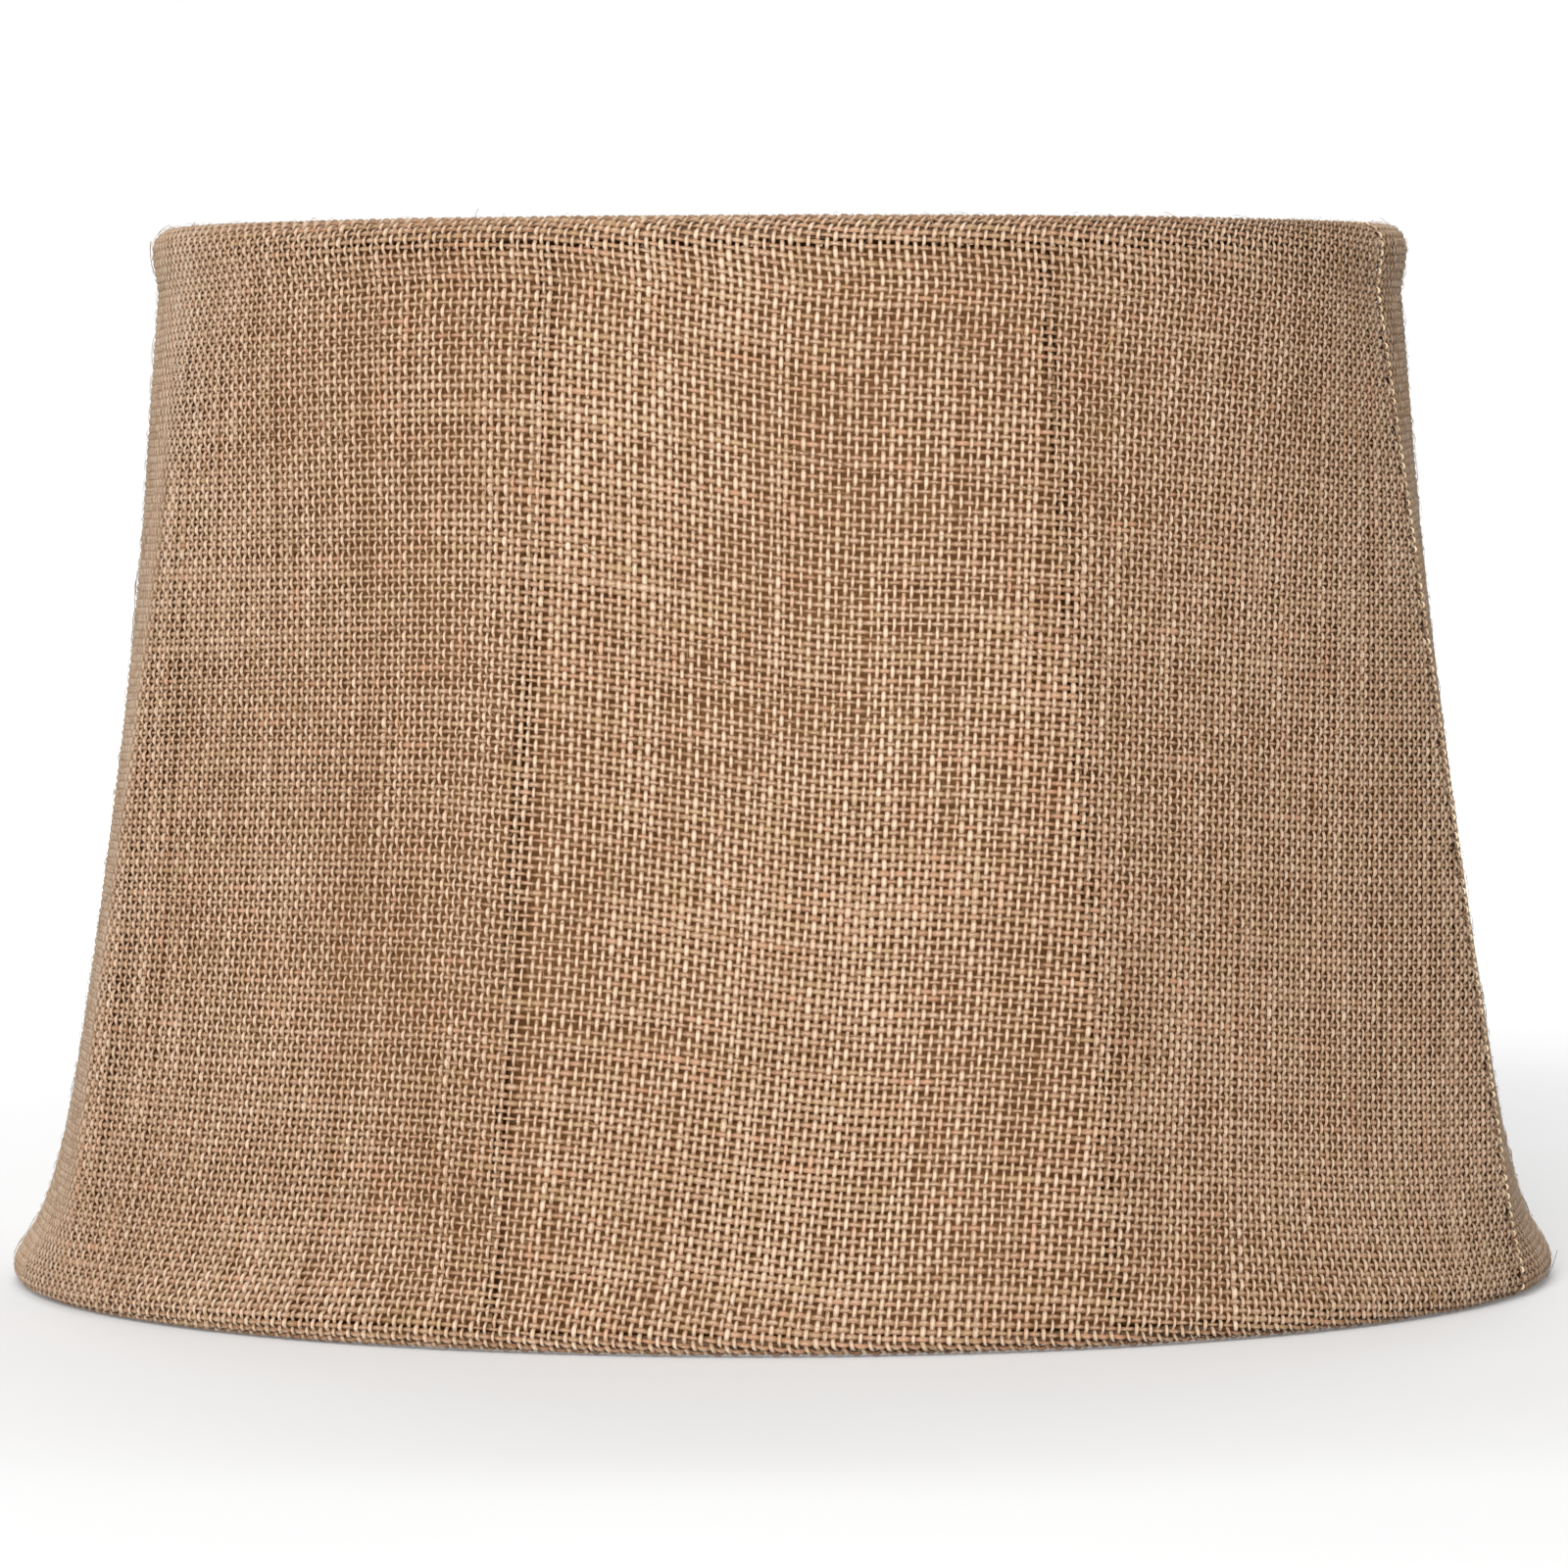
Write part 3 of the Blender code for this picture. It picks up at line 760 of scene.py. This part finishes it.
# %% Stitch both seams
STITCH_STEP = 0.0024     # from one stitch to the next
STITCH_LENGTH = 0.0018
STITCH_WIDTH = 0.62      # millimetres
STITCH_LIFT = 0.0011     # of its middle, above mid-cloth
STITCH_SKEW = 0.0003     # sideways, from one end to the other
BESIDE = 0.0011          # from the seam's line
FIRST_STITCH = HEM + 0.004
LAST_STITCH = FULL_RUN - 0.008
thread_finish = fibre_finish("jute_thread", (140, 112, 82), (202, 180, 150), 0.7)
for side, turn in (("right", SEAM), ("left", SEAM + math.pi)):
    model = stitch.copy()
    model.data = stitch.data.copy()
    runs = np.arange(FIRST_STITCH, LAST_STITCH, STITCH_STEP)
    turns = turn + BESIDE / np.interp(runs, SECTION_RUN, SECTION_R)
    spots = cover_place(turns, runs)
    ahead = cover_place(turns, runs + 0.0005) - cover_place(turns, runs - 0.0005)
    out = np.stack([np.sin(turns), -np.cos(turns), np.full(len(turns), 0.15)], axis=-1)
    placements = placed(spots + STITCH_LIFT * out, ahead, out,
                        length=STITCH_LENGTH, width=STITCH_WIDTH)
    placements[:, :, 0] += STITCH_SKEW * np.cross(out, ahead / np.linalg.norm(ahead[0]))
    thread = copied(f"seam_stitches_{side}", model, placements, thread_finish,
                    31)
    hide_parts(f"seam_thread_{side}")
bpy.data.objects.remove(stitch)

# %% [markdown]
# ## Loose fibres
#
# Jute sheds. Single fibres stand off the yarns all over the cloth, most of them a few
# millimetres long and lying almost flat, and here and there a long golden or dark one
# is caught in the weave. One fibre is a three-sided rod bowed up in the middle.

# %% Scatter the fibres
fuzz_finish = fibre_finish("jute_fuzz", (100, 72, 44), (180, 152, 118), 0.6)
stray_finish = fibre_finish("jute_stray", (73, 45, 23), (186, 147, 95), 0.5)
SEAM_CLEAR = 0.02        # turn kept clear beside a seam
FIBRES_FROM = HEM + 0.003
FIBRES_TO = FULL_RUN - 0.010
FIBRE_WAVE = 0.0012      # sideways bow of a fibre


def scatter(name, count, low, high, thick, rise, tilt, finish, seed):
    """Loose fibres over the whole cover, with lengths from low to high.

    thick is in millimetres, rise is how far a fibre's middle bows up, and tilt is how
    much fibres lean out of the cloth. They keep clear of the seams and of both edges.
    """
    fibre = make_rod(3, 5)
    for corner in fibre.data.vertices:
        out = abs(corner.co.x) * 2
        corner.co.z += rise * (1 - out * out)
        corner.co.y += FIBRE_WAVE * math.sin(corner.co.x * 5.0)
    rng = np.random.default_rng(seed)
    turn = SEAM + rng.uniform(SEAM_CLEAR, math.pi - SEAM_CLEAR, count)
    turn = turn + rng.integers(0, 2, count) * math.pi
    run = rng.uniform(FIBRES_FROM, FIBRES_TO, count)
    length = rng.uniform(low, high, count) * rng.uniform(0.5, 1.0, count)
    slant = rng.normal(0.0, 0.9, count) + rng.integers(0, 2, count) * math.pi / 2
    spot, facing = cover_place(turn, run), cover_facing(turn, run)
    down = cover_place(turn, run + 0.001) - spot
    down = down / np.linalg.norm(down, axis=-1, keepdims=True)
    across = np.cross(facing, down)
    ahead = down * np.cos(slant)[:, None] + across * np.sin(slant)[:, None]
    ahead = ahead + facing * rng.normal(0.0, tilt, count)[:, None]
    spots = spot + facing * rng.uniform(0.0005, 0.0009, count)[:, None]
    return copied(name, fibre, placed(spots, ahead, facing, length, thick), finish,
                  seed)


scatter("loose_fibres_short", 9000, 0.0014, 0.0045, 0.10, 0.004, 0.05, fuzz_finish, 41)
scatter("loose_fibres_long", 700, 0.006, 0.017, 0.16, 0.003, 0.02, stray_finish, 42)

# %% [markdown]
# ## The lining
#
# A soft-back shade is lined with thin plain cloth, stretched from ring to ring inside the
# ribs, where it bows in. From inside it hides the ribs, and from outside it keeps the
# holes of the burlap dark. It is glued along both edges and puckers there, so a fine
# ripple fades out from each edge. The back half is tucked under the front at the seams.


# %% The lining's finish
def lining_finish():
    """Fine plain weave with slubs, a little cloudy."""
    material, start, sockets = new_finish("lining_cloth")
    cut = start.node("ShaderNodeUVMap", {"uv_map": "cut"}, {})
    threads = start.node("ShaderNodeTexWave", {"bands_direction": "X"}, {
        "Vector": cut, "Scale": 90.0, "Distortion": 1.5, "Detail": 2.0})
    cross = start.node("ShaderNodeTexWave", {"bands_direction": "Y"}, {
        "Vector": cut, "Scale": 90.0, "Distortion": 1.5, "Detail": 2.0}, output=1)
    cloud = start.node("ShaderNodeTexNoise", {}, {"Vector": cut, "Scale": 3.0, "Detail": 3.0})
    slub = start.node("ShaderNodeTexNoise", {}, {
        "Vector": start.node("ShaderNodeMapping", {}, {"Vector": cut, "Scale": (2.0, 40.0, 1.0)}),
        "Scale": 8.0, "Detail": 2.0})
    weave = threads.ranged(0.0, 1.0, 0.0, 0.5) + cross * 0.5
    shade = weave * 0.35 + cloud.ranged(0.3, 0.7, 0.0, 0.35) + slub.ranged(0.35, 0.7, 0.0, 0.3)
    feed(shade.mixed(paint((112, 73, 39)), paint((146, 104, 64))), sockets["Base Color"])
    sockets["Roughness"].default_value = 0.85
    sockets["Specular IOR Level"].default_value = 0.2
    feed(start.node("ShaderNodeBump", {}, {"Strength": 0.3, "Distance": 0.0002,
                                           "Height": weave}), sockets["Normal"])
    return material


lining_material = lining_finish()
print("finish", lining_material.name)

# %% The lining's two halves
COLUMNS, ROWS = 560, 46              # points across and down a half
LINING_TOP = 0.1558                  # radius at its top edge
LINING_BOTTOM = 0.1950
LINING_BELOW = 0.0058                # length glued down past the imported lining's edge
LINING_DRAW = 0.0070                 # how far it bows in midway down
PRESSED = 0.0004                     # mid-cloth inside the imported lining's outer face
PULLED_IN = 0.0005                   # how far its bottom edge is drawn inwards
PUCKER = 0.00028
PUCKER_FADE = 0.05                   # share of the height over which a pucker fades
SLACK = 0.0004                       # how far it wanders in and out in the middle
TUCK = 0.0005                        # how far the back half goes under the front
LAP = 0.012                          # turn by which each half runs past the seams
FADE = 0.04                          # turn, or share of the height, over which both fade
SHEET_SPAN = 0.57                    # longest side of the flat cut, for its bake
for name, middle, seed in (("lining_front", FRONT_MIDDLE, 51),
                           ("lining_back", FRONT_MIDDLE + math.pi, 52)):
    rng = np.random.default_rng(seed)
    low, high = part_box(name)
    top, bottom = high[2], low[2] - LINING_BELOW
    half = math.pi / 2 + LAP
    turn = np.linspace(-half, half, COLUMNS)[:, None]
    share = np.linspace(0.0, 1.0, ROWS)[None, :]
    share = share - 0.04 * np.sin(2 * math.pi * share)
    height = np.broadcast_to(top + (bottom - top) * share, (COLUMNS, ROWS))
    bow = np.sin(math.pi * share)
    radius = LINING_TOP + (LINING_BOTTOM - LINING_TOP) * share - LINING_DRAW * bow
    wander = np.cumsum(drift(rng, (COLUMNS, 1), (3, 0)) * 0.16 + 0.52, axis=0)
    near_edge = np.exp(-share / PUCKER_FADE) + 0.7 * np.exp(-(1 - share) / PUCKER_FADE)
    uneven = 0.7 + 0.3 * drift(rng, (COLUMNS, 1), (9, 0))
    ripple = PUCKER * near_edge * np.sin(wander) * uneven
    slack = SLACK * drift(rng, (COLUMNS, ROWS), (16, 9)) * bow
    under = TUCK * (name == "lining_back") * np.exp(-(half - np.abs(turn)) / FADE)
    radius = radius - under - PRESSED + ripple + slack - PULLED_IN * np.exp(-(1 - share) / FADE)
    points = np.stack([radius * np.sin(turn + middle), -radius * np.cos(turn + middle),
                       height], axis=-1)
    number = np.arange(COLUMNS * ROWS).reshape(COLUMNS, ROWS)
    faces = np.stack([number[:-1, :-1], number[:-1, 1:], number[1:, 1:], number[1:, :-1]],
                     axis=-1).reshape(-1, 4)
    mesh = bpy.data.meshes.new(name)
    mesh.from_pydata(points.reshape(-1, 3).tolist(), [], faces.tolist())
    mesh.polygons.foreach_set("use_smooth", np.ones(len(faces), bool))
    around = np.broadcast_to(turn * MEAN_RADIUS, (COLUMNS, ROWS))
    flat = np.stack([around, height], axis=-1).reshape(-1, 2)
    for word, spot in (("OFBake", 0.01 + 0.98 * (flat - flat.min(axis=0)) / SHEET_SPAN),
                       ("cut", flat * 10)):
        layer = mesh.uv_layers.new(name=word)
        layer.data.foreach_set("uv", spot[faces.ravel()].astype(np.float32).ravel())
    mesh.materials.append(lining_material)
    lining = bpy.data.objects.new(f"{name}_cloth", mesh)
    bpy.context.scene.collection.objects.link(lining)
    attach(lining, "root")
    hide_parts(name)
    print(lining.name, "faces", len(faces))

# %% [markdown]
# ## The wire frame and its tape
#
# Rings and ribs are steel with a dull brown lacquer, so they hide behind open burlap.
# The fitter's arms and washer, the only metal that is meant to be seen, are brass-plated.
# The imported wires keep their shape, so they only get finishes. Cotton tape is wound
# round each ring for the cloth to be glued to.


# %% Metal and tape finishes
def metal_finish(name, dark, pale, rough, spread):
    """Metal that is cloudy between two colours and finely scuffed."""
    material, start, sockets = new_finish(name)
    place = start.node("ShaderNodeTexCoord", {}, {}, output=3)
    cloud = start.node("ShaderNodeTexNoise", {}, {"Vector": place, "Scale": 60.0, "Detail": 4.0})
    scuff = start.node("ShaderNodeTexNoise", {}, {"Vector": place, "Scale": 900.0, "Detail": 3.0})
    feed(cloud.ranged(0.35, 0.65, 0.0, 1.0).mixed(paint(dark), paint(pale)),
         sockets["Base Color"])
    feed(cloud.ranged(0.3, 0.7, rough - spread, rough + spread)
         + scuff.ranged(0.3, 0.7, -0.05, 0.05), sockets["Roughness"])
    feed(start.node("ShaderNodeBump", {}, {"Strength": 0.12, "Distance": 0.0001,
                                           "Height": scuff}), sockets["Normal"])
    sockets["Metallic"].default_value = 1.0
    return material


def tape_finish():
    """Dull cotton, with its weave as fine grain and its turns as soft bands."""
    material, start, sockets = new_finish("cotton_tape")
    place = start.node("ShaderNodeTexCoord", {}, {}, output=3)
    weave = start.node("ShaderNodeTexNoise", {}, {"Vector": place, "Scale": 1500.0})
    turns = start.node("ShaderNodeTexNoise", {}, {"Vector": place, "Scale": 140.0})
    shade = weave.ranged(0.3, 0.7, 0.0, 0.6) + turns.ranged(0.3, 0.7, 0.0, 0.4)
    feed(shade.mixed(paint((61, 40, 23)), paint((90, 64, 40))), sockets["Base Color"])
    sockets["Roughness"].default_value = 0.9
    feed(start.node("ShaderNodeBump", {}, {"Strength": 0.4, "Distance": 0.0002,
                                           "Height": weave}), sockets["Normal"])
    return material


bronze = metal_finish("bronzed_wire", (78, 59, 40), (104, 81, 57), 0.62, 0.10)
brass = metal_finish("brassed_wire", (176, 132, 62), (206, 166, 92), 0.26, 0.08)
tape = tape_finish()
for name, node in nodes.items():
    if name.startswith(("rib_", "top_ring", "bottom_ring")):
        node.material_slots[0].material = bronze
    elif name.startswith("spider_"):
        node.material_slots[0].material = brass
    elif name.startswith("ring_tape"):
        node.material_slots[0].material = tape
print("metal and tape finished")

# %% [markdown]
# ## Welds
#
# Each arm is welded to the top ring and under the washer, and a weld leaves a bead. A
# bead is a small ball, squashed and made lumpy, and no two are alike.


# %% Weld beads
def weld_bead(name, spot, size, seed):
    """One brass-coated bead at a spot."""
    bpy.ops.object.select_all(action="DESELECT")
    bpy.ops.mesh.primitive_uv_sphere_add(segments=16, ring_count=10, radius=size, location=spot)
    bead = bpy.context.object
    bead.name = name
    bpy.ops.object.mode_set(mode="EDIT")
    bpy.ops.mesh.select_all(action="SELECT")
    bpy.ops.transform.resize(value=(1.15, 1.15, 0.78))
    bpy.ops.transform.vertex_random(offset=size * 0.12, uniform=1.0, normal=1.0, seed=seed)
    bpy.ops.mesh.vertices_smooth(factor=0.5, repeat=1)
    bpy.ops.object.mode_set(mode="OBJECT")
    bpy.ops.object.transform_apply(location=True, rotation=True, scale=True)
    bpy.ops.object.shade_smooth()
    bead.data.materials.append(brass)
    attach(bead, "root")
    return bead


RING_WELD = 0.1578       # radius at which the arms meet the top ring
WASHER_WELD = 0.0118     # radius at which they meet the washer's rim
WASHER_GAP = 0.0003      # an arm's top, under the washer
washer_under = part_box("spider_washer")[0][2]
for number, turn in enumerate(ARM_TURNS):
    ring_spot = (RING_WELD * math.sin(turn), -RING_WELD * math.cos(turn), TOP_Z)
    weld_bead(f"weld_ring_{number + 1}", ring_spot, 0.0021, number)
    foot = (WASHER_WELD * math.sin(turn), -WASHER_WELD * math.cos(turn),
            washer_under - WASHER_GAP)
    weld_bead(f"weld_washer_{number + 1}", foot, 0.0018, number + 5)
print("six weld beads")
